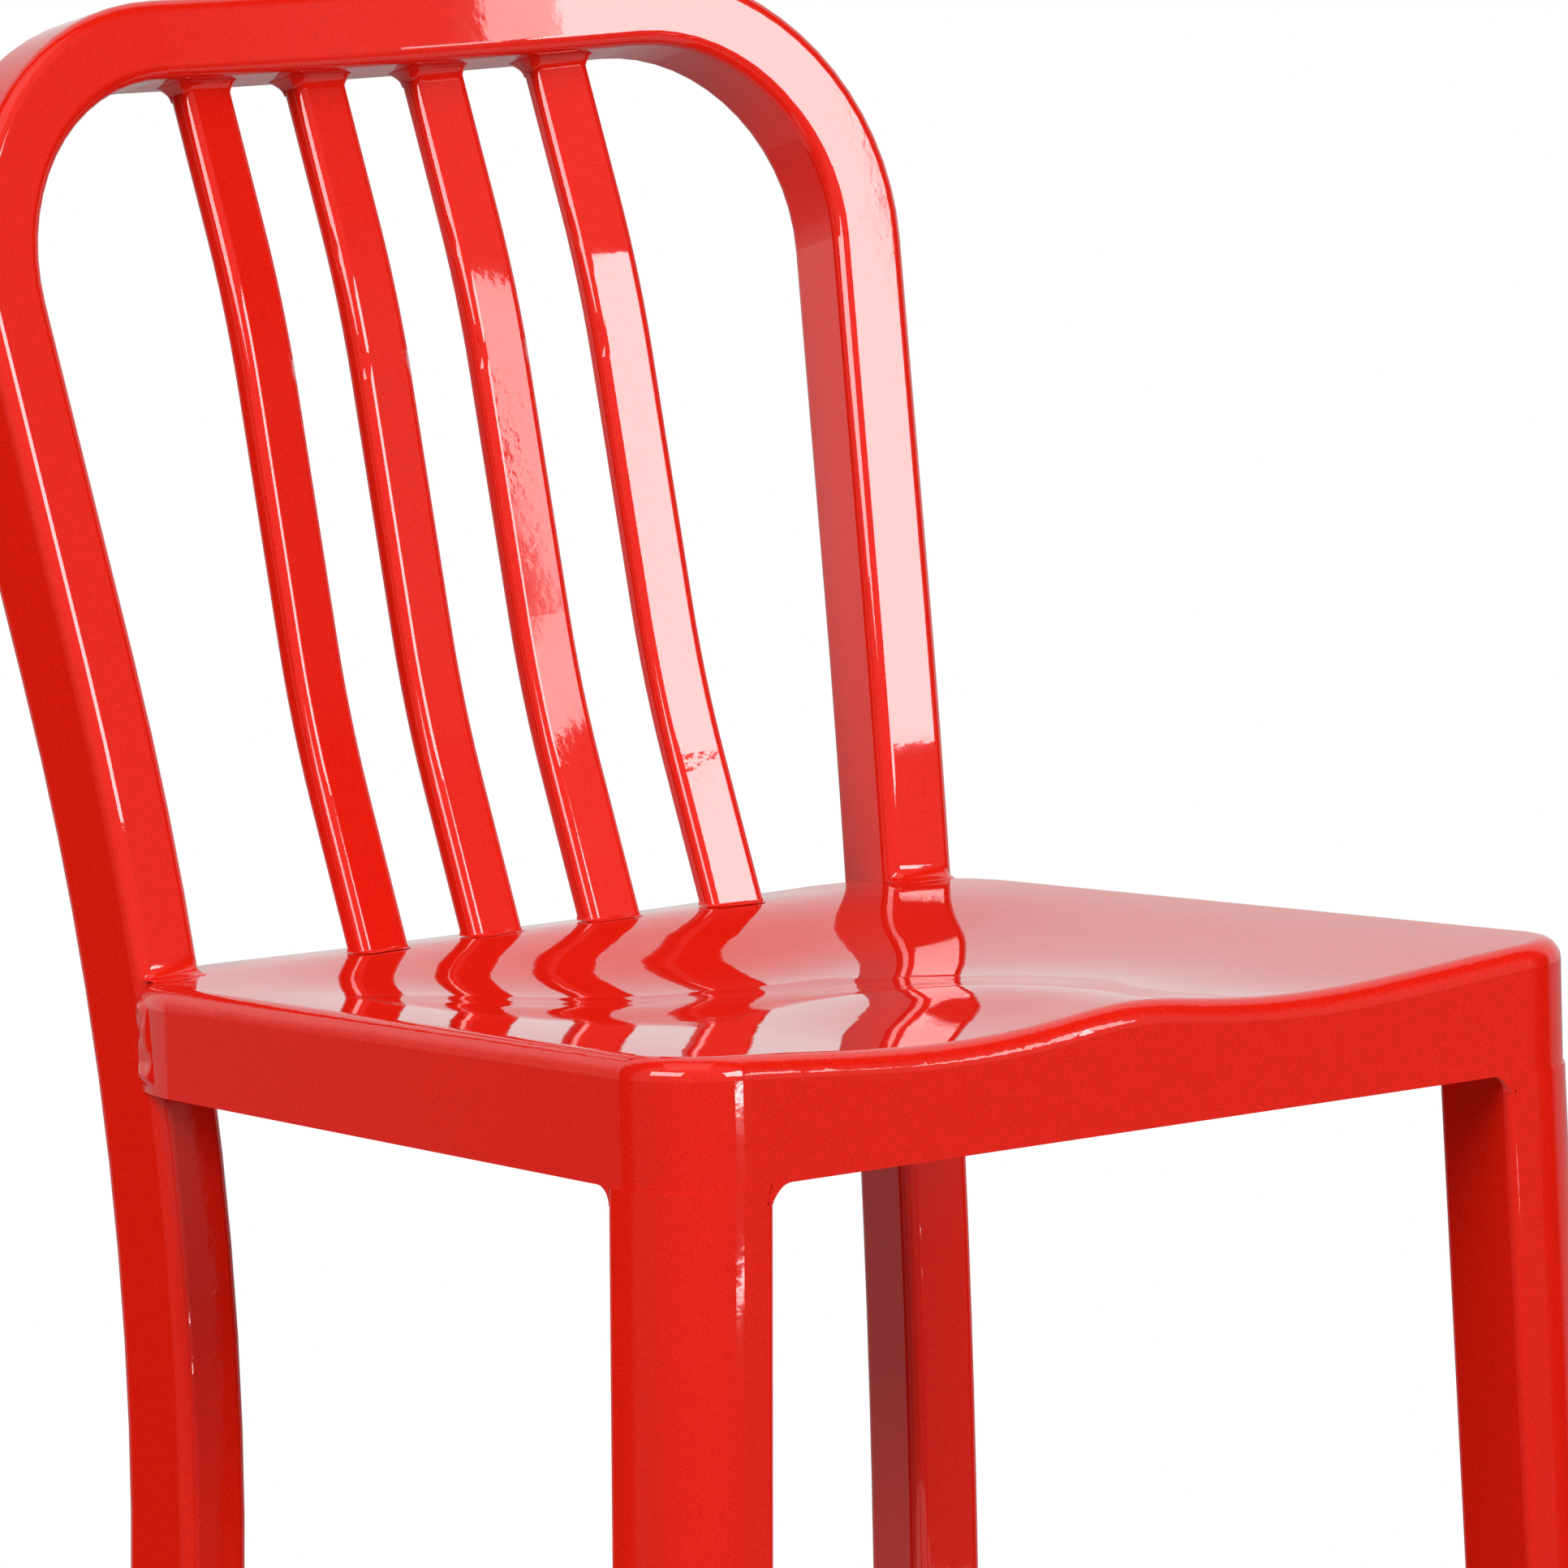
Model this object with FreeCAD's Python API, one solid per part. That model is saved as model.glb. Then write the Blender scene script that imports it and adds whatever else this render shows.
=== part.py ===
"""Metal bar stool with a bent-tube back, four slats and a stamped seat, in millimetres.

The front faces -Y and +Z is up. The floor is z = 0 and the origin is the middle of the stool on the floor.
"""
import FreeCAD, Part
import math
import os

os.makedirs("parts", exist_ok=True)
V = FreeCAD.Vector
X_AXIS = V(1, 0, 0)
Y_AXIS = V(0, 1, 0)
Z_AXIS = V(0, 0, 1)

# Seat pan
seat_height = 762.6           # floor to the rim at the front corners
seat_front_width = 378.0
seat_rear_width = 356.0
seat_depth = 346.0
seat_rear_radius = 58.0       # plan radius of the rear corners
skirt_height = 42.1           # rim to the skirt's lower edge, at the front corners
rim_fall = 7.4                # the rim is this much lower along the rear edge
rim_radius = 7.0
sheet = 1.5                   # thickness of the pan
dish_depth = 15.0             # hollow in the middle of the seat
thigh_dip = 5.0               # two hollows in the front edge
hump_drop = 1.9               # the ridge between them lies this far below the corners
rear_rise = 0.3               # the rear edge is crowned by this in the middle
front_shelf = 60.0            # the front edge's shape runs straight back over this
rear_shelf = 30.0             # the slats stand on a nearly level strip
rear_blend = 82.0             # from that strip down to the bottom of the dish

# Front legs
leg_face_top = 39.7           # width of the front face under the skirt
leg_side_top = 35.5
leg_face_foot = 35.5
leg_side_foot = 33.5
leg_corner = 27.0             # the large outer corner, shared with the seat
leg_edge_radius = 3.0         # the other three corners
leg_splay = 21.0              # how far the foot stands out sideways
leg_neck = 24.0               # length inside the skirt
wall = 1.5                    # wall of every tube

# Back hoop
tube_width = 27.0             # seen from the front
tube_depth = 33.2
tube_radius = 5.0
upright_inset = 18.9          # centre of the upright from the seat's rear side, in plan
upright_setback = 12.1        # centre of the upright ahead of the seat's rear edge
upright_level = 8.8           # both are measured this far below the seat's front corners
back_lean = 13.3              # degrees
back_toe = 5.0                # the uprights turn in towards the sitter by this
back_flare = 5.8              # the uprights spread upwards by this
upright_length = 120.4        # straight stretch below the shoulder
shoulder_radius = 80.4
knee_radius = 1060.0
knee_above_seat = 5.65        # degrees of the knee bend that lie above the seat
knee_below_seat = 13.0
knee_roll = 20.3              # the knee also bends outwards

# Slats
slat_count = 4
slat_pitch = 49.5
slat_width = 22.0
slat_thickness = 10.0
slat_radius = 3.8
slat_foot_setback = 24.2      # centre of the foot ahead of the seat's rear edge
slat_head_setback = 3.8       # centre of the head behind the middle of the rail
slat_curve_radius = 660.0     # the row of slats is bowed in plan
slat_foot_length = 80.4       # lower stretch
slat_head_length = 80.5       # upper stretch
slat_foot_lean = 21.5         # degrees
slat_head_lean = 21.6
slat_bend_radius = 336.0

# Foot rails
rail_tall = 22.0
rail_thick = 14.0
rail_edge = 4.0
front_rail_height = 290.0
rear_rail_height = 290.0
side_rail_height = 345.0

# Glides
glide_height = 8.0
plug_length = 18.0
plug_clearance = 0.3

# Welds and fits
fit = 0.3                     # gap between curved faces
weld_flare = 3.6              # foot of a weld, measured out from the tube
weld_reach = 4.4              # length of a weld along the tube
weld_tip = 0.4                # thickness of its thin edge
weld_sink = 5.0               # welds on legs are made this much too long and then trimmed
hollow_height = 0.3           # a weld is hollow: at this share of its reach
hollow_width = 0.5            # it has this share of its flare
foot_weld_flare = 1.2         # the slats stand in thinner welds
foot_weld_reach = 1.8
cove_radius = 6.5             # hollow weld in front of each upright
cove_shift = 2.0              # it lies this far towards the middle of the stool
web_radius = 6.0              # rounded web between skirt and leg
web_thickness = 2.0

# Cutters and the seat's surface run past what they trim
overrun = 12.0
grid_columns = 13             # points across the seat's upper surface
grid_rows = 13                # points along it
grid_margin = 6.0
thigh_shift = 0.75            # below 1 draws the two front hollows towards the middle

skirt_low = seat_height - skirt_height
seat_front = 0.0
seat_rear = seat_front + seat_depth
side_slope = (seat_front_width - seat_rear_width) / 2 / seat_depth
front_blend = seat_depth - front_shelf - rear_shelf - rear_blend
leg_least = min(leg_face_top, leg_side_top, leg_face_foot, leg_side_foot)
corner_radius = min(leg_corner, leg_least - 2 * leg_edge_radius)
far = 3 * seat_height         # longer than anything on the stool
POINT = Part.Vertex(0, 0, 0)  # swept in place of a section, it draws a centre line


def rounded_outline(points, radii):
    """Closed wire through the corner points, each corner rounded to its own radius."""
    arcs = []
    for i, corner in enumerate(points):
        before = (points[i - 1] - corner).normalize()
        after = (points[(i + 1) % len(points)] - corner).normalize()
        half = before.getAngle(after) / 2
        reach = radii[i] / math.tan(half)
        centre = corner + (before + after).normalize() * (radii[i] / math.sin(half))
        middle = centre + (corner - centre).normalize() * radii[i]
        arcs.append(Part.Arc(corner + before * reach, middle, corner + after * reach).toShape())
    edges = []
    for i, arc in enumerate(arcs):
        following = arcs[(i + 1) % len(arcs)]
        edges.append(arc)
        edges.append(Part.makeLine(arc.lastVertex().Point, following.firstVertex().Point))
    return Part.Wire(Part.__sortEdges__(edges))


def rounded_rectangle(width, depth, radius):
    """Wire of a rounded rectangle in the XY plane, centred on the origin."""
    a, b = width / 2, depth / 2
    corners = [V(-a, -b), V(a, -b), V(a, b), V(-a, b)]
    return rounded_outline(corners, [radius] * len(corners))


def bore_face(width, depth, radius, inset):
    """Face inside a rounded tube: a rectangle whose corners are cut off beside the tube's rounded ones."""
    a, b = width / 2 - inset, depth / 2 - inset
    cut = (radius - inset) * (2 - math.sqrt(2))
    quarter = [V(a, b - cut), V(a - cut, b)]
    half = quarter + [V(-p.x, p.y) for p in reversed(quarter)]
    whole = half + [V(-p.x, -p.y) for p in half]
    return Part.Face(Part.makePolygon(whole + whole[:1]))


def tube_face(width, depth, radius):
    """Face of a rounded tube's wall."""
    outer = Part.Face(rounded_rectangle(width, depth, radius))
    return outer.cut(bore_face(width, depth, radius, wall))


def placed(shape, origin, across, deep):
    """Moves a shape drawn in XY so that its X lies along one direction and its Y along another."""
    normal = across.cross(deep)
    matrix = FreeCAD.Matrix(across.x, deep.x, normal.x, origin.x,
                            across.y, deep.y, normal.y, origin.y,
                            across.z, deep.z, normal.z, origin.z)
    moved = shape.copy()
    moved.Placement = FreeCAD.Placement(matrix)
    return moved


def slab(low, high):
    """Everything between two heights."""
    return Part.makeBox(2 * far, 2 * far, high - low, V(-far, -far, low))


def mirrored(shape):
    """The same shape on the other side of the stool."""
    return shape.mirror(V(0, 0, 0), X_AXIS)


def opposite(point):
    """The same point on the other side of the stool."""
    return V(-point.x, point.y, point.z)


def joined(shapes):
    """One clean solid from touching shapes."""
    return shapes[0].multiFuse(shapes[1:]).removeSplitter()


def largest(shape):
    """The biggest solid of a cut shape; crumbs left beside it are dropped."""
    return max(shape.Solids, key=lambda solid: solid.Volume)


class TubeBender:
    """Feeds a section along straights and bends, and keeps the lengths it makes."""

    def __init__(self, section, at, along):
        self.section = section
        self.at = at
        self.along = along
        self.lengths = []

    def straight(self, length):
        step = self.along * length
        self.lengths.append(self.section.extrude(step))
        self.section = self.section.translated(step)
        self.at = self.at + step

    def bend(self, radius, degrees, towards):
        """Bends about an axis that lies in the section's plane, `radius` away in the direction given."""
        centre = self.at + towards * radius
        axis = self.along.cross(towards)
        turn = FreeCAD.Rotation(axis, degrees)
        self.lengths.append(self.section.revolve(centre, axis, degrees))
        self.section = self.section.rotated(centre, axis, degrees)
        self.at = centre + turn.multVec(self.at - centre)
        self.along = turn.multVec(self.along)

    def turn_to(self, direction, radius):
        """Bends until the tube runs along a direction."""
        towards = direction - self.along * self.along.dot(direction)
        self.bend(radius, math.degrees(self.along.getAngle(direction)), towards.normalize())


# Seat


def half_width(y):
    """Half the seat's width at a distance behind its front edge."""
    return seat_front_width / 2 - side_slope * (y - seat_front)


def smooth_step(share):
    """Rises from 0 to 1 with level ends."""
    share = min(max(share, 0.0), 1.0)
    return share ** 2 * (3 - 2 * share)


def seat_top(x, y):
    """Height of the upper surface: a rim, a bowl deepest at the back, two hollows in the front edge."""
    across = abs(x) / half_width(y)
    near_front = smooth_step(1 - (y - seat_front - front_shelf) / front_blend)
    near_rear = smooth_step(1 - (seat_rear - rear_shelf - y) / rear_blend)
    crown = 1 - across ** 2
    thighs = math.sin(math.pi * across ** thigh_shift) ** 2
    hollow = near_front * (thigh_dip * thighs + hump_drop * crown)
    hollow -= near_rear * rear_rise * crown
    hollow += (1 - near_front - near_rear) * dish_depth * crown ** 2
    return seat_height - rim_fall * (y - seat_front) / seat_depth - hollow


def seat_outline():
    """Plan of the seat at its outer skin."""
    a, b = seat_front_width / 2, seat_rear_width / 2
    corners = [V(-a, seat_front), V(a, seat_front), V(b, seat_rear), V(-b, seat_rear)]
    return rounded_outline(corners, [corner_radius, corner_radius, seat_rear_radius, seat_rear_radius])


def below_seat_top(lift):
    """Solid under the seat's upper surface, with the surface raised by the lift."""
    width = seat_front_width + 2 * grid_margin
    depth = seat_depth + 2 * grid_margin
    grid = []
    for i in range(grid_columns):
        x = -width / 2 + width * i / (grid_columns - 1)
        ys = [seat_front - grid_margin + depth * j / (grid_rows - 1) for j in range(grid_rows)]
        grid.append([V(x, y, seat_top(x, y) + lift) for y in ys])
    surface = Part.BSplineSurface()
    surface.interpolate(grid)
    return surface.toShape().extrude(V(0, 0, -2 * skirt_height))


def seat_column(grow, low, high):
    """The seat's plan, larger all round by `grow`, as a column between two heights."""
    outline = seat_outline()
    if grow:
        outline = outline.makeOffset2D(grow)
    return Part.Face(outline).extrude(V(0, 0, high - low)).translated(V(0, 0, low))


def seat_block(grow, low):
    """The seat as a filled block, larger by `grow`; its rim is rounded, or cut off inside the sheet."""
    block = seat_column(grow, low, seat_height + skirt_height).common(below_seat_top(grow))
    rim = [edge for edge in block.Edges if edge.BoundBox.ZMin > low + rim_radius]
    if grow < 0:
        return block.makeChamfer((rim_radius + grow) * (2 - math.sqrt(2)), rim)
    return block.makeFillet(rim_radius + grow, rim)


def seat_pan(hoop):
    """Thin pan, open underneath and cut back around the uprights."""
    return seat_block(0.0, skirt_low).cut(seat_block(-sheet, skirt_low - overrun)).cut(hoop)


def seat_plane(at, reach):
    """A point just over the seat and the normal there; the plane clears the seat for `reach` around."""
    slope_x = (seat_top(at.x + reach, at.y) - seat_top(at.x - reach, at.y)) / (2 * reach)
    slope_y = (seat_top(at.x, at.y + reach) - seat_top(at.x, at.y - reach)) / (2 * reach)
    steps = [(x, y) for x in (-reach, 0, reach) for y in (-reach, 0, reach)]
    rise = max(seat_top(at.x + x, at.y + y) - at.z - slope_x * x - slope_y * y for x, y in steps)
    return at + Z_AXIS * (rise + fit), V(-slope_x, -slope_y, 1).normalize()


# Front legs, made on the left and mirrored


def long_edges(block):
    """A leg's lengthwise edges, the outer front one first."""
    edges = [edge for edge in block.Edges if edge.BoundBox.ZLength > skirt_low / 2]
    return sorted(edges, key=lambda edge: edge.CenterOfMass.x + edge.CenterOfMass.y)


def leg_shank(grow):
    """Tapered block from the floor to the skirt; a bore, with negative `grow`, keeps small corners."""
    top_x, foot_x = -seat_front_width / 2, -seat_front_width / 2 - leg_splay
    wedge = Part.makeWedge(foot_x - grow, 0, -leg_side_foot - grow, -leg_side_top - grow, top_x - grow,
                           foot_x + leg_face_foot + grow, skirt_low, grow, grow, top_x + leg_face_top + grow)
    block = wedge.rotated(V(0, 0, 0), X_AXIS, 90)
    if grow >= 0:
        block = block.makeFillet(leg_edge_radius + grow, long_edges(block)[1:])
    return block.makeFillet(corner_radius + grow, long_edges(block)[:1])


def leg_neck_block(inset, low, high):
    """Solid neck that stands inside the corner of the skirt."""
    corner = V(-seat_front_width / 2, seat_front, low)
    box = Part.makeBox(leg_face_top - inset, leg_side_top - inset, high - low, corner)
    return seat_column(-inset, low, high).common(box)


def front_leg():
    """Hollow tapered leg, shouldered under the skirt and cut off above its glide."""
    inset = sheet + fit
    neck = leg_neck_block(inset, skirt_low, skirt_low + leg_neck)
    neck_bore = leg_neck_block(inset + wall, skirt_low - overrun, skirt_low + leg_neck + overrun)
    bore = leg_shank(-wall).common(slab(-overrun, skirt_low - wall))
    return joined([leg_shank(0.0), neck]).cut(bore).cut(neck_bore).cut(slab(-overrun, glide_height))


def front_leg_at(height):
    """Middle of the left front leg's section at a height."""
    share = 1 - height / skirt_low
    face = leg_face_top + (leg_face_foot - leg_face_top) * share
    flank = leg_side_top + (leg_side_foot - leg_side_top) * share
    return V(-seat_front_width / 2 - leg_splay * share + face / 2, seat_front + flank / 2, height)


def leg_fillets():
    """Rounded webs in the corners between the skirt's lower edge and the legs."""
    r, e = web_radius, leg_edge_radius
    middle = V(r, -r) + V(-1, 1).normalize() * r
    arc = Part.Arc(V(r, 0), middle, V(0, -r)).toShape()
    border = Part.makePolygon([V(0, -r), V(-e, -r), V(-e, 0), V(r, 0)])
    web = Part.Face(Part.Wire(border.Edges + [arc]))
    corner = V(-seat_front_width / 2, seat_front, skirt_low)
    back = V(side_slope, 1, 0).normalize()
    front = placed(web, corner + X_AXIS * leg_face_top, X_AXIS, Z_AXIS).extrude(Y_AXIS * web_thickness)
    inward = back.cross(Z_AXIS)
    flank = placed(web, corner + back * leg_side_top, back, Z_AXIS).extrude(inward * web_thickness)
    leg = leg_shank(fit)
    webs = [largest(shape.cut(leg)) for shape in (front, flank)]
    return Part.makeCompound(webs + [mirrored(shape) for shape in webs])


# Back hoop


def leaning_axes():
    """Directions up the leaning back and square to it, towards the rear."""
    lean = math.radians(back_lean)
    return V(0, math.sin(lean), math.cos(lean)), V(0, math.cos(lean), -math.sin(lean))


def upright_axes():
    """Along, across and through the right upright above its knee."""
    toe, flare = math.radians(back_toe), math.radians(back_flare)
    up, behind = leaning_axes()
    rail_end = X_AXIS * math.cos(toe) - behind * math.sin(toe)
    deep = behind * math.cos(toe) + X_AXIS * math.sin(toe)
    rising = up * math.cos(flare) + rail_end * math.sin(flare)
    outward = rail_end * math.cos(flare) - up * math.sin(flare)
    return rising, outward, deep


def knee_axes():
    """The same directions at the seat, part of the way round the knee, and the way to the knee's centre."""
    rising, outward, deep = upright_axes()
    roll = math.radians(knee_roll)
    to_centre = deep * math.cos(roll) + outward * math.sin(roll)
    turn = FreeCAD.Rotation(rising.cross(to_centre), -knee_above_seat)
    return [turn.multVec(direction) for direction in (rising, outward, deep, to_centre)]


def upright_foot():
    """Centre of the right upright beside the seat's rear rim."""
    return V(seat_rear_width / 2 - upright_inset, seat_rear - upright_setback, seat_height - upright_level)


def hoop_half(section):
    """Right half of the hoop: from the seat up to the middle of the rail, and from the seat to the floor."""
    outward, deep = upright_axes()[1:]
    along, across, through, to_centre = knee_axes()
    at = upright_foot()
    face = placed(section, at, across, through)

    upper = TubeBender(face, at, along)
    upper.bend(knee_radius, knee_above_seat, to_centre)
    upper.straight(upright_length)
    upper.bend(shoulder_radius, 90 + back_flare, outward * -1)
    upper.bend(upper.at.x / math.sin(math.radians(back_toe)), back_toe, deep * -1)

    lower = TubeBender(face, at, along * -1)
    lower.bend(knee_radius, knee_below_seat, to_centre)
    lower.straight((lower.at.z + tube_depth) / -lower.along.z)
    return upper, lower


def hoop_swept(section):
    """The whole hoop with a section, down past the floor."""
    upper, lower = hoop_half(section)
    right = upper.lengths + lower.lengths
    return joined(right + [mirrored(length) for length in right])


def hoop_room():
    """The hoop without its bore and a little larger, for cutting what meets it."""
    outline = rounded_rectangle(tube_width + 2 * fit, tube_depth + 2 * fit, tube_radius + fit)
    return hoop_swept(Part.Face(outline))


def back_hoop():
    """The tube itself, cut off above the rear glides."""
    return hoop_swept(tube_face(tube_width, tube_depth, tube_radius)).cut(slab(-far, glide_height))


def rail_underside():
    """Middle of the top rail's underside."""
    return hoop_half(POINT)[0].at - leaning_axes()[0] * (tube_width / 2)


def rear_leg_at(height):
    """Centre of the right rear leg at a height below the knee."""
    lower = hoop_half(POINT)[1]
    return lower.at + lower.along * ((height - lower.at.z) / lower.along.z)


# Slats


def side_direction(degrees):
    """Unit vector in side view that leans back from the vertical."""
    return V(0, math.sin(math.radians(degrees)), math.cos(math.radians(degrees)))


def slat_ends(number):
    """Where a slat stands on the seat and where it meets the top rail, and its turn in plan."""
    behind = leaning_axes()[1]
    x = (number - (slat_count - 1) / 2) * slat_pitch
    angle = math.asin(x / slat_curve_radius)
    bow = slat_curve_radius * (1 - math.cos(angle))
    head = rail_underside() + X_AXIS * x + behind * (slat_head_setback - bow)
    y = seat_rear - slat_foot_setback - bow
    return V(x, y, seat_top(x, y)), head, angle


def slat_axes(along, angle):
    """Width and depth directions of a slat that runs along a direction and is turned in plan."""
    back = V(math.sin(angle), math.cos(angle), 0)
    deep = (back - along * back.dot(along)).normalize()
    return deep.cross(along), deep


def bend_reach(first, second):
    """Length that a slat's bend between two directions takes from each straight."""
    return slat_bend_radius * math.tan(first.getAngle(second) / 2)


def slat(number):
    """One slat with two bends, running a little past the seat and the rail."""
    foot, head, angle = slat_ends(number)
    low, high = side_direction(slat_foot_lean), side_direction(slat_head_lean)
    middle = (head - high * slat_head_length) - (foot + low * slat_foot_length)
    span = middle.Length
    middle.normalize()
    low_reach, high_reach = bend_reach(low, middle), bend_reach(middle, high)
    start = foot - low * overrun
    across, deep = slat_axes(low, angle)
    section = placed(tube_face(slat_width, slat_thickness, slat_radius), start, across, deep)
    bender = TubeBender(section, start, low)
    bender.straight(overrun + slat_foot_length - low_reach)
    bender.turn_to(middle, slat_bend_radius)
    bender.straight(span - low_reach - high_reach)
    bender.turn_to(high, slat_bend_radius)
    bender.straight(slat_head_length - high_reach + overrun)
    return joined(bender.lengths)


def above_rail_underside():
    """Everything above the plane of the top rail's underside."""
    block = Part.makeBox(2 * far, 2 * far, far, V(-far, -far, 0))
    return placed(block, rail_underside(), X_AXIS, leaning_axes()[1])


# Welds


def weld_section(tube, grow, base, axes, normal, height):
    """Outline of a tube, larger by `grow`, slid along the tube into the plane `height` above its base."""
    across, deep = axes
    along = across.cross(deep)
    corners = []
    for corner in bore_face(*tube, -grow).OuterWire.OrderedVertexes:
        offset = across * corner.X + deep * corner.Y
        slide = (height - offset.dot(normal)) / along.dot(normal)
        corners.append(base + offset + along * slide)
    return Part.makePolygon(corners + corners[:1])


def collar(tube, base, axes, normal, flare, reach, sink):
    """Weld around a tube that stands on a plane: hollow, wide at its base and thin at its tip."""
    profile = [(0.0, flare), (reach * hollow_height, flare * hollow_width), (reach, weld_tip)]
    if sink:
        profile.insert(0, (-sink, flare))
    skin = [weld_section(tube, fit + out, base, axes, normal, height) for height, out in profile]
    bore = [weld_section(tube, fit, base, axes, normal, height) for height in (-overrun, overrun)]
    return Part.makeLoft(skin, True, True).cut(Part.makeLoft(bore, True, True))


def slat_welds():
    """Welds at the heads and at the feet of the slats."""
    low, high = side_direction(slat_foot_lean), side_direction(slat_head_lean)
    down = leaning_axes()[0] * -1
    tube = (slat_width, slat_thickness, slat_radius)
    heads, feet = [], []
    for number in range(slat_count):
        foot, head, angle = slat_ends(number)
        base, normal = seat_plane(foot, slat_width / 2)
        feet.append(collar(tube, base, slat_axes(low, angle), normal, foot_weld_flare, foot_weld_reach, 0.0))
        across, deep = slat_axes(high, angle)
        heads.append(collar(tube, head, (across * -1, deep), down, weld_flare, weld_reach, 0.0))
    return Part.makeCompound(heads), Part.makeCompound(feet)


def upright_welds(seat):
    """A hollow cove with rounded ends across the front of each upright where it meets the seat."""
    along, across, through = knee_axes()[:3]
    corner = upright_foot() - through * (tube_depth / 2 + fit) - across * cove_shift
    corner = corner + along * (seat_top(corner.x, corner.y) - corner.z)
    ahead = seat_plane(corner, cove_radius)[1].cross(across).normalize() * -1
    top, toe = corner + along * cove_radius, corner + ahead * cove_radius
    middle = corner + (along + ahead) * (cove_radius * (1 - math.sqrt(0.5)))
    sunk = [toe, toe - along * weld_sink, corner - along * weld_sink, top]
    outline = Part.Wire([Part.Arc(top, middle, toe).toShape()] + Part.makePolygon(sunk).Edges)
    half = tube_width / 2 - cove_radius
    section = Part.Face(outline).translated(across * -half)
    cove = [section.extrude(across * (2 * half))]
    for side in (-1, 1):
        end = section.translated(across * (half * (1 + side)))
        cove.append(end.revolve(corner + across * (half * side), along, 90 * side))
    right = largest(joined(cove).cut(seat))
    return Part.makeCompound([right, mirrored(right)])


# Foot rails


def foot_rail(start, end, legs):
    """Straight tube between two leg centres, trimmed to the legs, and the beads at its ends."""
    along = (end - start).normalize()
    across = Z_AXIS.cross(along).normalize()
    upward = along.cross(across)
    section = placed(tube_face(rail_thick, rail_tall, rail_edge), start, across, upward)
    rail = section.extrude(end - start)
    axis = Part.makeLine(start, end)
    for leg in legs:
        rail = rail.cut(leg)
        axis = axis.cut(leg)
    ends = sorted((v.Point for v in axis.Vertexes), key=lambda point: point.distanceToPoint(start))
    tube = (rail_thick, rail_tall, rail_edge)
    beads = []
    for point, side in ((ends[0], 1), (ends[-1], -1)):
        bead = collar(tube, point, (across * side, upward), along * side, weld_flare, weld_reach, weld_sink)
        for leg in legs:
            bead = bead.cut(leg)
        beads.append(largest(bead))
    return largest(rail), beads


def foot_rails(hoop):
    """Four rails between the legs, and all their welds."""
    left = leg_shank(fit)
    right = mirrored(left)
    front_left, side_front = front_leg_at(front_rail_height), front_leg_at(side_rail_height)
    rear_right, side_rear = rear_leg_at(rear_rail_height), rear_leg_at(side_rail_height)
    front, front_beads = foot_rail(front_left, opposite(front_left), [left, right])
    rear, rear_beads = foot_rail(opposite(rear_right), rear_right, [hoop])
    side, side_beads = foot_rail(side_front, opposite(side_rear), [left, hoop])
    rails = {"foot_rail_front": front, "foot_rail_rear": rear,
             "foot_rail_left": side, "foot_rail_right": mirrored(side)}
    beads = front_beads + rear_beads + side_beads + [mirrored(bead) for bead in side_beads]
    return rails, Part.makeCompound(beads)


# Glides


def glide(outer, bore):
    """Foot plug: a sole as wide as the leg and a plug inside the tube."""
    sole = outer.common(slab(0.0, glide_height))
    plug = bore.common(slab(glide_height, glide_height + plug_length))
    return joined([sole, plug])


def glides():
    """Left and right glides of the front legs and of the hoop."""
    play = wall + plug_clearance
    front = glide(leg_shank(0.0), leg_shank(-play))
    outer = hoop_half(Part.Face(rounded_rectangle(tube_width, tube_depth, tube_radius)))[1]
    bore = hoop_half(bore_face(tube_width, tube_depth, tube_radius, play))[1]
    rear = glide(outer.lengths[-1], bore.lengths[-1])
    return {"glide_front_left": front, "glide_front_right": mirrored(front),
            "glide_rear_left": mirrored(rear), "glide_rear_right": rear}


def stool():
    """Every piece by name, as it stands behind the seat's front edge."""
    hoop = hoop_room()
    seat = seat_block(fit, skirt_low - overrun)
    leg = front_leg()
    pieces = {"seat_pan": seat_pan(hoop), "back_hoop": back_hoop(),
              "front_leg_left": leg, "front_leg_right": mirrored(leg)}
    over_rail = above_rail_underside()
    for number in range(slat_count):
        pieces[f"back_slat_{number + 1}"] = largest(slat(number).cut(over_rail).cut(seat))
    pieces["slat_top_welds"], pieces["slat_foot_welds"] = slat_welds()
    pieces["upright_welds"] = upright_welds(seat)
    pieces["leg_fillets"] = leg_fillets()
    rails, pieces["foot_rail_welds"] = foot_rails(hoop)
    pieces.update(rails)
    pieces.update(glides())
    return pieces


pieces = stool()
extent = Part.makeCompound(list(pieces.values())).optimalBoundingBox()
to_middle = V(0, -(extent.YMin + extent.YMax) / 2, 0)
for name, shape in pieces.items():
    shape.translated(to_middle).exportStep(f"parts/{name}.step")
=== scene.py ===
import math

import bmesh
import bpy
from mathutils import Matrix, Vector, noise as lumps


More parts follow.
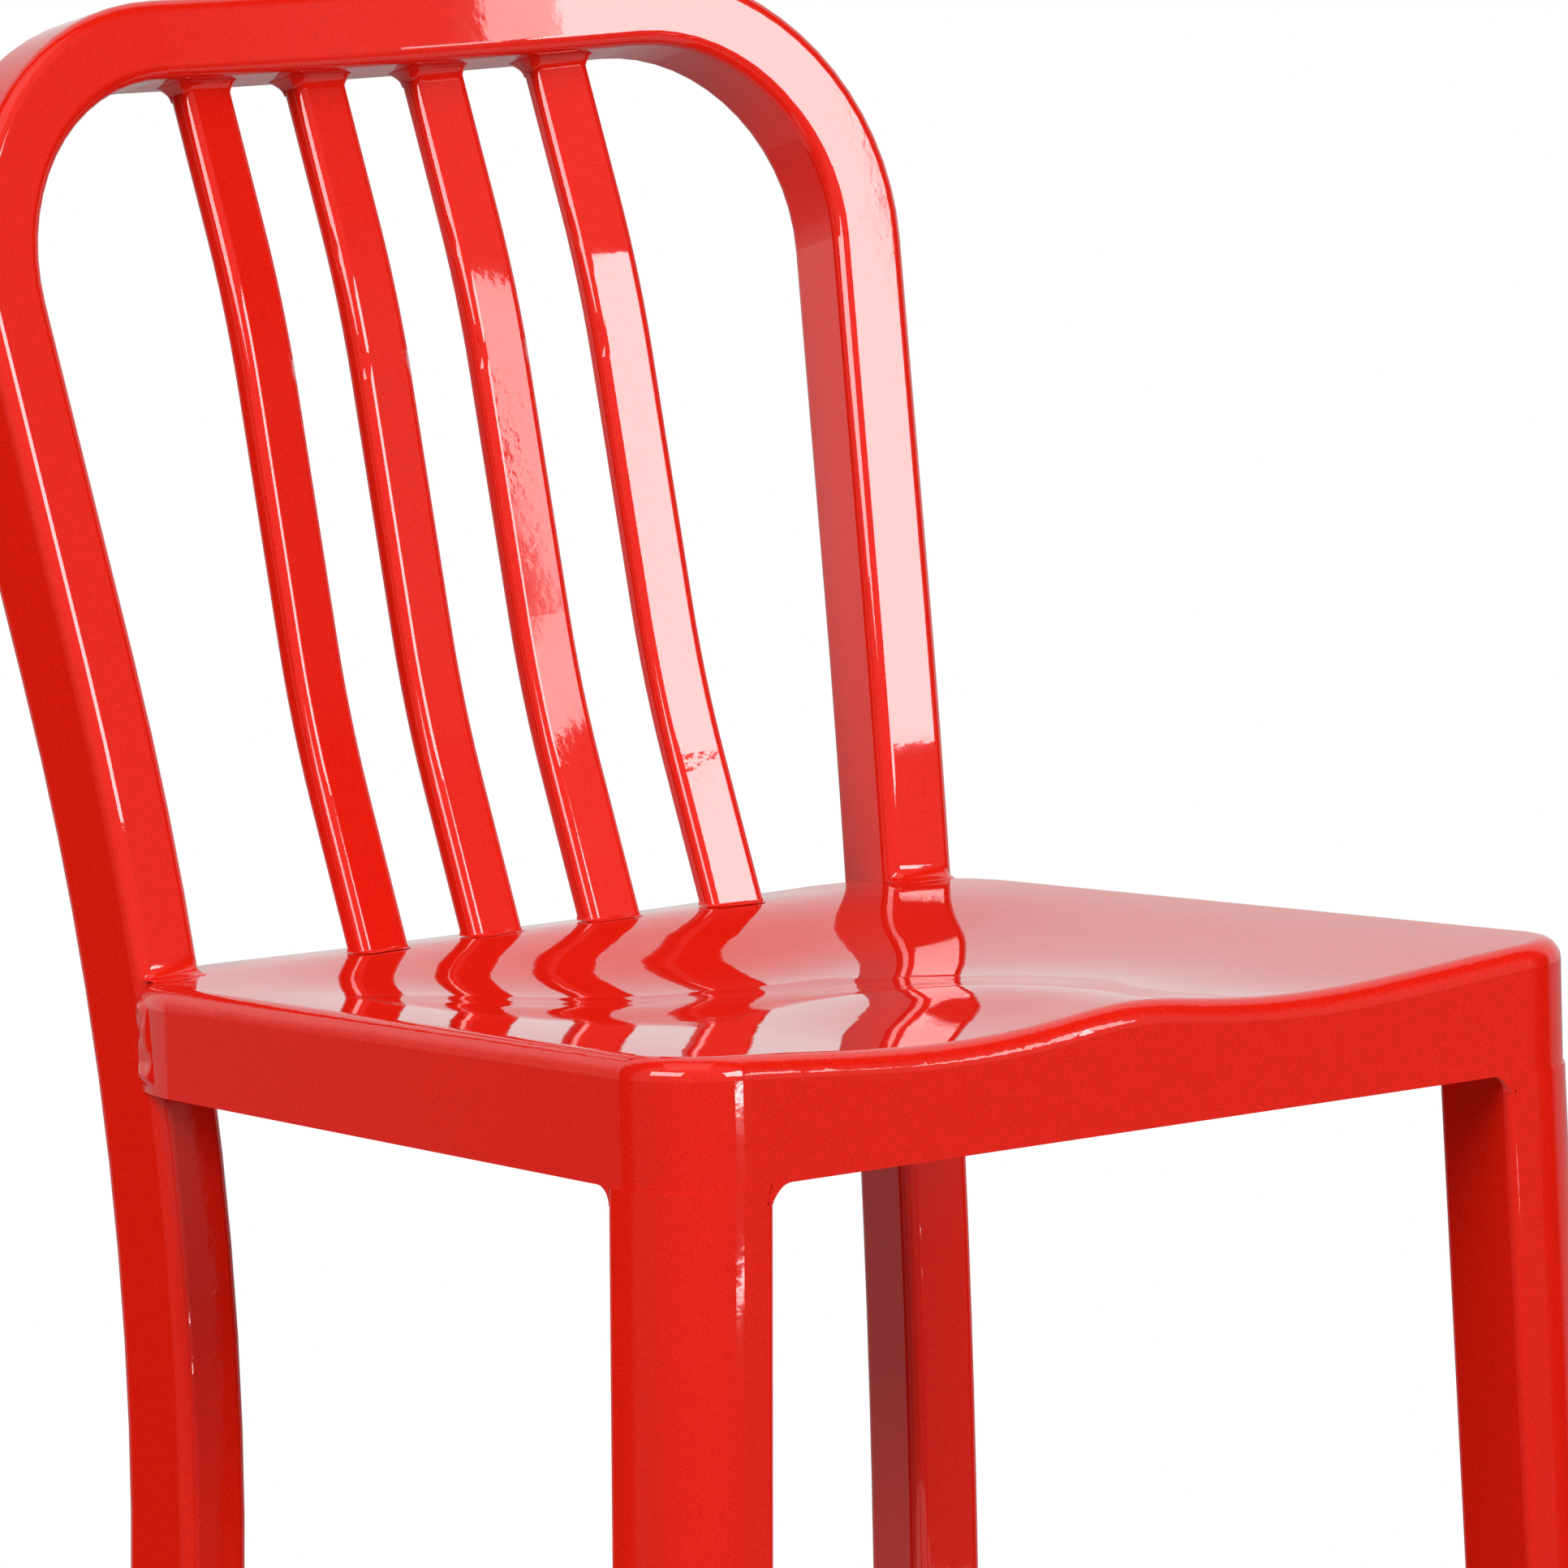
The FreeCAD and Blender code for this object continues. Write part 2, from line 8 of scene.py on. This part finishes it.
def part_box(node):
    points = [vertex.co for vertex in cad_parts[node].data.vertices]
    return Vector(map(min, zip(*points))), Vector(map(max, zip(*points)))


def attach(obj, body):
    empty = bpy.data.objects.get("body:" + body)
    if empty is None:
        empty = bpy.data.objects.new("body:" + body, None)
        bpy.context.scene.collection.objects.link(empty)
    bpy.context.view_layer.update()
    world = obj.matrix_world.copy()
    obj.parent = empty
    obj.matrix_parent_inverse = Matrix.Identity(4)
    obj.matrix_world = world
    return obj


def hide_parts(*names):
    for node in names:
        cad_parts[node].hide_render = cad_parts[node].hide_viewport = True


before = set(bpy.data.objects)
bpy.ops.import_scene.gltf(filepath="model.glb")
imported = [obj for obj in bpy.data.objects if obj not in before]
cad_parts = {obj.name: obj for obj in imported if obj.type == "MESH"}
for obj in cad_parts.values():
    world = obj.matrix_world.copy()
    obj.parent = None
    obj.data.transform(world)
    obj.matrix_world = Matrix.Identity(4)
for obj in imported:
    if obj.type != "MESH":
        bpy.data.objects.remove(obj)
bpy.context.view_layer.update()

# The photograph's camera, placed from the middle of the seat's front edge at the skirt's lower rim
image_size = 1932
focal_pixels = 13730.5
sensor_mm = 36.0
view_azimuth = math.radians(37.087)
view_elevation = math.radians(7.053)
view_roll = math.radians(-1.669)
camera_offset = Vector((-2.1967, -2.7182, 0.5456))
camera_reach = 60.0

# The enamel and the rubber; each noise has a scale, a detail and a roughness
noise_low, noise_high = 0.3, 0.7
enamel_red = (0.860, 0.017, 0.006, 1.0)
enamel_deep = (0.600, 0.007, 0.002, 1.0)
enamel_grain = (2400.0, 2.0, 0.6)
enamel_peel = (260.0, 2.0, 0.5)
enamel_wave = (45.0, 1.0, 0.4)
enamel_gloss = (0.02, 0.045)
enamel_ior = 1.56
wave_height, peel_height = 0.00003, 0.00001
rubber_black = (0.016, 0.015, 0.015, 1.0)
rubber_worn = (0.034, 0.033, 0.031, 1.0)
rubber_pores = (1400.0, 3.0, 0.6)
rubber_scuff = (120.0, 3.0, 0.6)
rubber_rough = (0.48, 0.68)
pore_strength, pore_height = 0.25, 0.0003

# The slats' upper ends in metres, with each slat's turn in degrees, and the coves of weld round them
slat_heads = (
    (-0.07425, 0.19255, 1.04361, 6.82),
    (-0.02475, 0.19618, 1.04275, 2.27),
    (0.02475, 0.19618, 1.04275, -2.27),
    (0.07425, 0.19255, 1.04361, -6.82),
)
slat_lean = Vector((0.0, 0.2300, 0.9732))
slat_half_width, slat_half_depth, slat_round = 0.01100, 0.00505, 0.00285
slat_corner_steps = 6
cove_left, cove_right, cove_front = 0.0046, 0.0030, 0.0026
cove_drop, cove_sink = 0.0050, 0.00025
cove_rings = 10
cove_hollow = 2.2
cove_lumps, cove_uneven, drop_uneven = 240.0, 0.3, 0.2

# The coves at the feet of the uprights: the right one's place and directions, mirrored for the left
foot_place = Vector((0.1574, 0.1031, 0.7562))
foot_across = Vector((0.9948, -0.1015, 0.0))
foot_ahead = Vector((-0.1015, -0.9948, 0.0))
foot_up = Vector((0.0, 0.11, 1.0))
foot_half_width, foot_round, foot_back = 0.0135, 0.0050, 0.0090
foot_corner_steps, foot_steps = 9, 12
foot_cove, foot_inset = 0.0062, 0.0002
foot_lap_up, foot_lap_ahead, foot_lap_down = 0.0006, 0.0006, 0.0008
foot_fade_inner, foot_fade_outer = 0.15, 0.30

# The strips of weld on the skirt's rear corners: their back and front edges at the low and the high end
strip_low, strip_high = 0.7212, 0.7535
strip_back = (Vector((0.1735, 0.1030)), Vector((0.1720, 0.1075)))
strip_ahead = (Vector((0.1810, 0.0835)), Vector((0.1805, 0.0880)))
strip_rows, strip_columns = 32, 14
strip_proud, strip_sink = 0.0017, 0.0003
strip_hump, strip_fade = 0.8, 6.0
strip_lumps, strip_uneven = 170.0, 0.7

# Changes to the slats' foot welds and the leg fillets
merge_distance = 0.00001
sharp_angle = math.radians(40.0)
slim_width, slim_height = 0.93, 0.6
fillet_low, fillet_high, fillet_shift = 0.7145, 0.7205, 0.00184
fillet_face = 0.0003

# The studio: a white backdrop behind the stool, dark flags beside it and a grey room in front.
# A step of the room is how far a direction faces the backdrop, and the level reflected from there.
room_light = 0.22
room_steps = ((-1.0, 0.36), (-0.2, 0.40), (0.0, 0.02), (0.30, 0.02), (0.48, 0.86))
room_below, below_full, below_none = 0.45, -0.12, -0.02
white = (1.0, 1.0, 1.0, 1.0)
floor_grey = (0.56, 0.56, 0.56, 1.0)
floor_roughness = 0.7
floor_radius, floor_sides = 1.7, 96

# Lamps: name, azimuth and elevation in degrees, distance, width and height in metres, watts
lamp_aim = Vector((0.0, 0.0, 0.85))
lamps = (
    ("softbox_front", 158.5, 20.0, 3.2, 1.3, 1.14, 58.0),
    ("softbox_front_edge", 144.8, 19.5, 3.33, 0.15, 1.14, 3.3),
    ("softbox_left", 250.0, 30.0, 3.0, 2.2, 1.2, 72.0),
    ("softbox_above", 220.0, 75.0, 2.6, 2.0, 2.0, 7.0),
    ("strip_low", 157.0, -10.1, 3.0, 0.40, 0.012, 0.32),
    ("strip_lower", 157.0, -12.0, 3.0, 0.40, 0.012, 0.24),
)


def new_material(name):
    material = bpy.data.materials.new(name)
    material.use_nodes = True
    tree = material.node_tree
    tree.nodes.clear()
    return material, tree


def add_node(tree, kind, inputs=None, **settings):
    """A node with its settings; an input is a value or the socket to link to it."""
    node = tree.nodes.new(kind)
    for key, value in settings.items():
        setattr(node, key, value)
    for key, value in (inputs or {}).items():
        if isinstance(value, bpy.types.NodeSocket):
            tree.links.new(value, node.inputs[key])
        else:
            node.inputs[key].default_value = value
    return node


def noise(tree, place, texture):
    scale, detail, roughness = texture
    settings = {"Vector": place, "Scale": scale, "Detail": detail, "Roughness": roughness}
    return add_node(tree, "ShaderNodeTexNoise", settings).outputs["Fac"]


def spread(tree, value, low, high):
    """The middle range of a noise, spread from the low to the high value."""
    settings = {"Value": value, "From Min": noise_low, "From Max": noise_high, "To Min": low, "To Max": high}
    return add_node(tree, "ShaderNodeMapRange", settings).outputs["Result"]


def blend(tree, value, first, second):
    """A colour between the first and the second, by a noise."""
    mix = add_node(tree, "ShaderNodeMix", {0: spread(tree, value, 0.0, 1.0)}, data_type="RGBA")
    mix.inputs[6].default_value = first
    mix.inputs[7].default_value = second
    return mix.outputs[2]


def finish_material(tree, shader):
    output = add_node(tree, "ShaderNodeOutputMaterial")
    tree.links.new(shader.outputs["BSDF"], output.inputs["Surface"])


def enamel():
    """Glossy red enamel with a fine grain, a slight orange peel and a long ripple."""
    material, tree = new_material("red_enamel_gloss")
    place = add_node(tree, "ShaderNodeTexCoord").outputs["Object"]
    grain = noise(tree, place, enamel_grain)
    peel = noise(tree, place, enamel_peel)
    wave = noise(tree, place, enamel_wave)
    ripple = add_node(tree, "ShaderNodeBump", {"Height": wave, "Distance": wave_height})
    skin = add_node(tree, "ShaderNodeBump", {
        "Height": peel,
        "Distance": peel_height,
        "Normal": ripple.outputs["Normal"],
    })
    shader = add_node(tree, "ShaderNodeBsdfPrincipled", {
        "Base Color": blend(tree, grain, enamel_deep, enamel_red),
        "Roughness": spread(tree, wave, *enamel_gloss),
        "IOR": enamel_ior,
        "Normal": skin.outputs["Normal"],
    })
    finish_material(tree, shader)
    return material


def rubber():
    """Black rubber with pores and scuffed patches."""
    material, tree = new_material("black_glide_rubber")
    place = add_node(tree, "ShaderNodeTexCoord").outputs["Object"]
    pores = noise(tree, place, rubber_pores)
    scuff = noise(tree, place, rubber_scuff)
    skin = add_node(tree, "ShaderNodeBump", {
        "Height": pores,
        "Strength": pore_strength,
        "Distance": pore_height,
    })
    shader = add_node(tree, "ShaderNodeBsdfPrincipled", {
        "Base Color": blend(tree, scuff, rubber_black, rubber_worn),
        "Roughness": spread(tree, scuff, *rubber_rough),
        "Normal": skin.outputs["Normal"],
    })
    finish_material(tree, shader)
    return material


def smooth_mesh(shell, mesh):
    """Writes the shell into the mesh with smooth faces."""
    for face in shell.faces:
        face.smooth = True
    shell.to_mesh(mesh)
    shell.free()


def place_piece(name, mesh, replaced=None):
    """The mesh as a piece of the frame, in the place of a node where it replaces one."""
    piece = bpy.data.objects.new(name, mesh)
    bpy.context.scene.collection.objects.link(piece)
    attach(piece, "root")
    if replaced:
        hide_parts(replaced)
    return piece


def slat_outline():
    """Points round a slat's section, each with the direction that leads away from it."""
    points = []
    for corner, (sx, sy) in enumerate(((1, 1), (-1, 1), (-1, -1), (1, -1))):
        middle = Vector((sx * (slat_half_width - slat_round), sy * (slat_half_depth - slat_round)))
        for step in range(slat_corner_steps + 1):
            turn = math.radians(90.0 * (corner + step / slat_corner_steps))
            outward = Vector((math.cos(turn), math.sin(turn)))
            points.append((middle + outward * slat_round, outward))
    return points


def cove_ring(centre, across, through, step):
    """One ring of a slat's cove; ring -1 lies inside the rail and the last one just inside the slat."""
    down = step / cove_rings
    below = max(down, 0.0)
    ring = []
    for point, outward in slat_outline():
        side = cove_left if outward.x < 0 else cove_right
        lump = lumps.noise((centre + across * point.x + through * point.y) * cove_lumps)
        hollow = (1.0 - below) ** cove_hollow * (1.0 + cove_uneven * lump)
        reach = Vector((outward.x * side, outward.y * cove_front)) * hollow
        flat = point + reach - outward * cove_sink * below
        drop = cove_drop * down * (1.0 + drop_uneven * lump)
        ring.append(centre + across * flat.x + through * flat.y - slat_lean * drop)
    return ring


def head_coves():
    """The coves of weld under the top rail, hollow in profile and slightly uneven."""
    shell = bmesh.new()
    for x, y, z, turn in slat_heads:
        centre = Vector((x, y, z))
        across = Matrix.Rotation(math.radians(turn), 3, slat_lean) @ Vector((1.0, 0.0, 0.0))
        through = slat_lean.cross(across)
        rings = [[shell.verts.new(point) for point in cove_ring(centre, across, through, step)]
                 for step in range(-1, cove_rings + 1)]
        count = len(rings[0])
        for upper, lower in zip(rings, rings[1:]):
            for i in range(count):
                j = (i + 1) % count
                shell.faces.new((upper[i], upper[j], lower[j], lower[i]))
        shell.faces.new(rings[0])
        shell.faces.new(rings[-1])
    bmesh.ops.recalc_face_normals(shell, faces=shell.faces)
    mesh = bpy.data.meshes.new("slat_head_coves")
    smooth_mesh(shell, mesh)
    return place_piece("slat_head_coves", mesh, "slat_top_welds")


def skin_piece(name, grids, replaced=None):
    """A smooth piece from grids of points, each a list of rows of equal length."""
    shell = bmesh.new()
    for grid in grids:
        rows = [[shell.verts.new(point) for point in row] for row in grid]
        for upper, lower in zip(rows, rows[1:]):
            for i in range(len(upper) - 1):
                shell.faces.new((upper[i], upper[i + 1], lower[i + 1], lower[i]))
    bmesh.ops.recalc_face_normals(shell, faces=shell.faces)
    mesh = bpy.data.meshes.new(name)
    smooth_mesh(shell, mesh)
    return place_piece(name, mesh, replaced)


def ease(value):
    """A smooth step from 0 to 1."""
    value = min(max(value, 0.0), 1.0)
    return value * value * (3.0 - 2.0 * value)


def foot_path():
    """Points along the front of an upright's section, with outward directions and the cove's share."""
    path = []
    for side, fade in ((-1.0, foot_fade_inner), (1.0, foot_fade_outer)):
        part = [(Vector((side * foot_half_width, -foot_back)), Vector((side, 0.0)), 0.0)]
        middle = Vector((side * (foot_half_width - foot_round), -foot_round))
        for step in range(foot_corner_steps + 1):
            along = step / foot_corner_steps
            turn = math.radians(90.0 * along)
            outward = Vector((side * math.cos(turn), math.sin(turn)))
            part.append((middle + outward * foot_round, outward, ease(along - fade)))
        path += part if side < 0 else part[::-1]
    return path


def foot_row(side, step):
    """One row of an upright's cove; the rows before and after the hollow lap onto tube and seat."""
    turn = math.radians(90.0 * min(max(step / foot_steps, 0.0), 1.0))
    lap_up = foot_lap_up if step < 0 else 0.0
    lap_ahead, lap_down = (foot_lap_ahead, foot_lap_down) if step > foot_steps else (0.0, 0.0)
    row = []
    for point, outward, share in foot_path():
        ahead = (foot_cove * (1.0 - math.cos(turn)) + lap_ahead) * share - foot_inset
        height = (foot_cove * (1.0 - math.sin(turn)) - lap_down + lap_up) * share
        flat = point + outward * ahead
        place = foot_place + foot_across * flat.x + foot_ahead * flat.y + foot_up * height
        row.append(Vector((side * place.x, place.y, place.z)))
    return row


def foot_coves():
    """The hollow fillets of weld between the uprights' front faces and the seat."""
    grids = [[foot_row(side, step) for step in range(-1, foot_steps + 2)] for side in (-1.0, 1.0)]
    return skin_piece("foot_coves", grids, "upright_welds")


def strip_row(seat, side, rise):
    """One row of a corner strip, from the upright forward along the skirt."""
    back = strip_back[0].lerp(strip_back[1], rise)
    ahead = strip_ahead[0].lerp(strip_ahead[1], rise)
    height = strip_low + (strip_high - strip_low) * rise
    ends = ease(strip_fade * rise) * ease(strip_fade * (1.0 - rise))
    row = []
    for column in range(strip_columns + 1):
        along = column / strip_columns
        flat = back.lerp(ahead, along)
        near = Vector((side * flat.x, flat.y, height))
        place, normal = seat.closest_point_on_mesh(near)[1:3]
        lump = 1.0 + strip_uneven * lumps.noise(place * strip_lumps)
        hump = math.sin(math.pi * along) ** strip_hump * ends
        row.append(place + normal * (strip_proud * hump * lump - strip_sink))
    return row


def corner_strips():
    """Uneven strips of weld where the uprights meet the skirt's rear corners, laid on the skirt itself."""
    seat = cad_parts["seat_pan"]
    grids = [[strip_row(seat, side, step / strip_rows) for step in range(strip_rows + 1)]
             for side in (-1.0, 1.0)]
    return skin_piece("corner_strips", grids)


def open_node(node_name):
    """A copy of a node's mesh without its stored normals, and the same opened for changes."""
    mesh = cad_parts[node_name].data.copy()
    if "custom_normal" in mesh.attributes:
        mesh.attributes.remove(mesh.attributes["custom_normal"])
    shell = bmesh.new()
    shell.from_mesh(mesh)
    bmesh.ops.remove_doubles(shell, verts=shell.verts, dist=merge_distance)
    return mesh, shell


def close_node(mesh, shell, name, node_name):
    """The changed mesh as a piece in the node's place."""
    smooth_mesh(shell, mesh)
    mesh.set_sharp_from_angle(angle=sharp_angle)
    return place_piece(name, mesh, node_name)


def slim_feet():
    """The welds at the slats' feet, drawn in close to the slats."""
    mesh, shell = open_node("slat_foot_welds")
    middle = sum(abs(vert.co.x) for vert in shell.verts) / len(shell.verts)
    groups = {}
    for vert in shell.verts:
        groups.setdefault((vert.co.x > 0, abs(vert.co.x) > middle), []).append(vert)
    for group in groups.values():
        centre = sum((vert.co for vert in group), Vector()) / len(group)
        low = min(vert.co.z for vert in group)
        for vert in group:
            x, y, z = vert.co
            vert.co = (
                centre.x + (x - centre.x) * slim_width,
                centre.y + (y - centre.y) * slim_width,
                low + (z - low) * slim_height,
            )
    return close_node(mesh, shell, "slim_slat_feet", "slat_foot_welds")


def flush_fillets():
    """The fillets under the skirt, drawn back at their lower ends onto the legs' rounded edges."""
    mesh, shell = open_node("leg_fillets")
    front = min(vert.co.y for vert in shell.verts)
    for vert in shell.verts:
        if vert.co.y < front + fillet_face:
            low = (fillet_high - vert.co.z) / (fillet_high - fillet_low)
            vert.co.x += math.copysign(fillet_shift * low * low, vert.co.x)
    return close_node(mesh, shell, "flush_fillets", "leg_fillets")


def weld_pieces():
    """Welds as they look under paint, on the slats, the uprights, the skirt's rear corners and the legs."""
    return [head_coves(), slim_feet(), foot_coves(), corner_strips(), flush_fillets()]


def paint(thing, material):
    thing.data.materials.clear()
    thing.data.materials.append(material)


def dress():
    """Makes the weld pieces and paints them and every node of the frame."""
    red = enamel()
    black = rubber()
    for piece in weld_pieces():
        paint(piece, red)
    for name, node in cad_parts.items():
        paint(node, black if name.startswith("glide") else red)


def add_camera():
    """The camera that was fitted to the photograph."""
    ahead = Vector((
        math.sin(view_azimuth) * math.cos(view_elevation),
        math.cos(view_azimuth) * math.cos(view_elevation),
        -math.sin(view_elevation),
    ))
    level = Vector((math.cos(view_azimuth), -math.sin(view_azimuth), 0.0))
    upright = level.cross(ahead)
    right = level * math.cos(view_roll) + upright * math.sin(view_roll)
    up = right.cross(ahead)
    seat_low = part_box("seat_pan")[0]
    front_edge = Vector((0.0, seat_low.y, seat_low.z))
    turn = Matrix((right, up, -ahead)).transposed().to_4x4()
    lens = bpy.data.cameras.new("photo_camera")
    lens.sensor_width = sensor_mm
    lens.lens = focal_pixels / image_size * sensor_mm
    lens.clip_end = camera_reach
    camera = bpy.data.objects.new("photo_camera", lens)
    camera.matrix_world = Matrix.Translation(front_edge + camera_offset) @ turn
    bpy.context.scene.collection.objects.link(camera)
    bpy.context.scene.camera = camera


def around(azimuth, elevation, distance):
    """A place seen from the lamps' aim; azimuth runs from the back over the right to the front."""
    turn, rise = math.radians(azimuth), math.radians(elevation)
    level = distance * math.cos(rise)
    return lamp_aim + Vector((level * math.sin(turn), level * math.cos(turn), distance * math.sin(rise)))


def add_lamp(name, azimuth, elevation, distance, width, height, power):
    """A rectangular lamp that faces the lamps' aim."""
    lamp = bpy.data.lights.new(name, "AREA")
    lamp.shape = "RECTANGLE"
    lamp.size = width
    lamp.size_y = height
    lamp.energy = power
    holder = bpy.data.objects.new(name, lamp)
    holder.location = around(azimuth, elevation, distance)
    aim = lamp_aim - holder.location
    holder.rotation_euler = aim.to_track_quat("-Z", "Y").to_euler()
    bpy.context.scene.collection.objects.link(holder)


def room_ramp(tree, ray):
    """The reflected level of the room in the ray's direction, darker below the horizon."""
    ahead = (math.sin(view_azimuth), math.cos(view_azimuth), 0.0)
    facing = add_node(tree, "ShaderNodeVectorMath", {0: ray, 1: ahead}, operation="DOT_PRODUCT")
    place = add_node(tree, "ShaderNodeMapRange", {"Value": facing.outputs["Value"], "From Min": -1.0})
    room = add_node(tree, "ShaderNodeValToRGB", {"Fac": place.outputs["Result"]})
    stops = room.color_ramp.elements
    while len(stops) < len(room_steps):
        stops.new(1.0)
    for stop, (facing_value, level) in zip(stops, room_steps):
        stop.position = (facing_value + 1.0) / 2
        stop.color = (level, level, level, 1.0)
    height = add_node(tree, "ShaderNodeSeparateXYZ", {0: ray}).outputs["Z"]
    shade = add_node(tree, "ShaderNodeMapRange", {
        "Value": height,
        "From Min": below_full,
        "From Max": below_none,
        "To Min": room_below,
        "To Max": 1.0,
    })
    levels = {0: room.outputs["Color"], 1: shade.outputs["Result"]}
    return add_node(tree, "ShaderNodeMath", levels, operation="MULTIPLY").outputs[0]


def add_world():
    """White to the camera, the room to reflections, and an even light to the rest."""
    world = bpy.data.worlds.new("studio")
    world.use_nodes = True
    tree = world.node_tree
    tree.nodes.clear()
    room = room_ramp(tree, add_node(tree, "ShaderNodeTexCoord").outputs["Generated"])
    path = add_node(tree, "ShaderNodeLightPath").outputs
    rays = {0: path["Is Glossy Ray"], 1: path["Is Transmission Ray"]}
    mirrored = add_node(tree, "ShaderNodeMath", rays, operation="MAXIMUM").outputs[0]
    reflected = add_node(tree, "ShaderNodeMix", {0: mirrored, 2: room_light, 3: room}).outputs[0]
    strength = add_node(tree, "ShaderNodeMix", {0: path["Is Camera Ray"], 2: reflected, 3: 1.0}).outputs[0]
    light = add_node(tree, "ShaderNodeBackground", {"Color": white, "Strength": strength})
    output = add_node(tree, "ShaderNodeOutputWorld")
    tree.links.new(light.outputs[0], output.inputs["Surface"])
    bpy.context.scene.world = world


def add_floor():
    """A pale disc under the stool, which is part of the studio and not of the stool."""
    bpy.ops.mesh.primitive_circle_add(vertices=floor_sides, radius=floor_radius, fill_type="NGON")
    floor = bpy.context.object
    floor.name = "studio_floor"
    material, tree = new_material("pale_floor")
    shader = add_node(tree, "ShaderNodeBsdfPrincipled", {
        "Base Color": floor_grey,
        "Roughness": floor_roughness,
    })
    finish_material(tree, shader)
    floor.data.materials.append(material)


dress()
add_camera()
for lamp_values in lamps:
    add_lamp(*lamp_values)
add_world()
add_floor()
bpy.context.scene.view_settings.view_transform = "Standard"
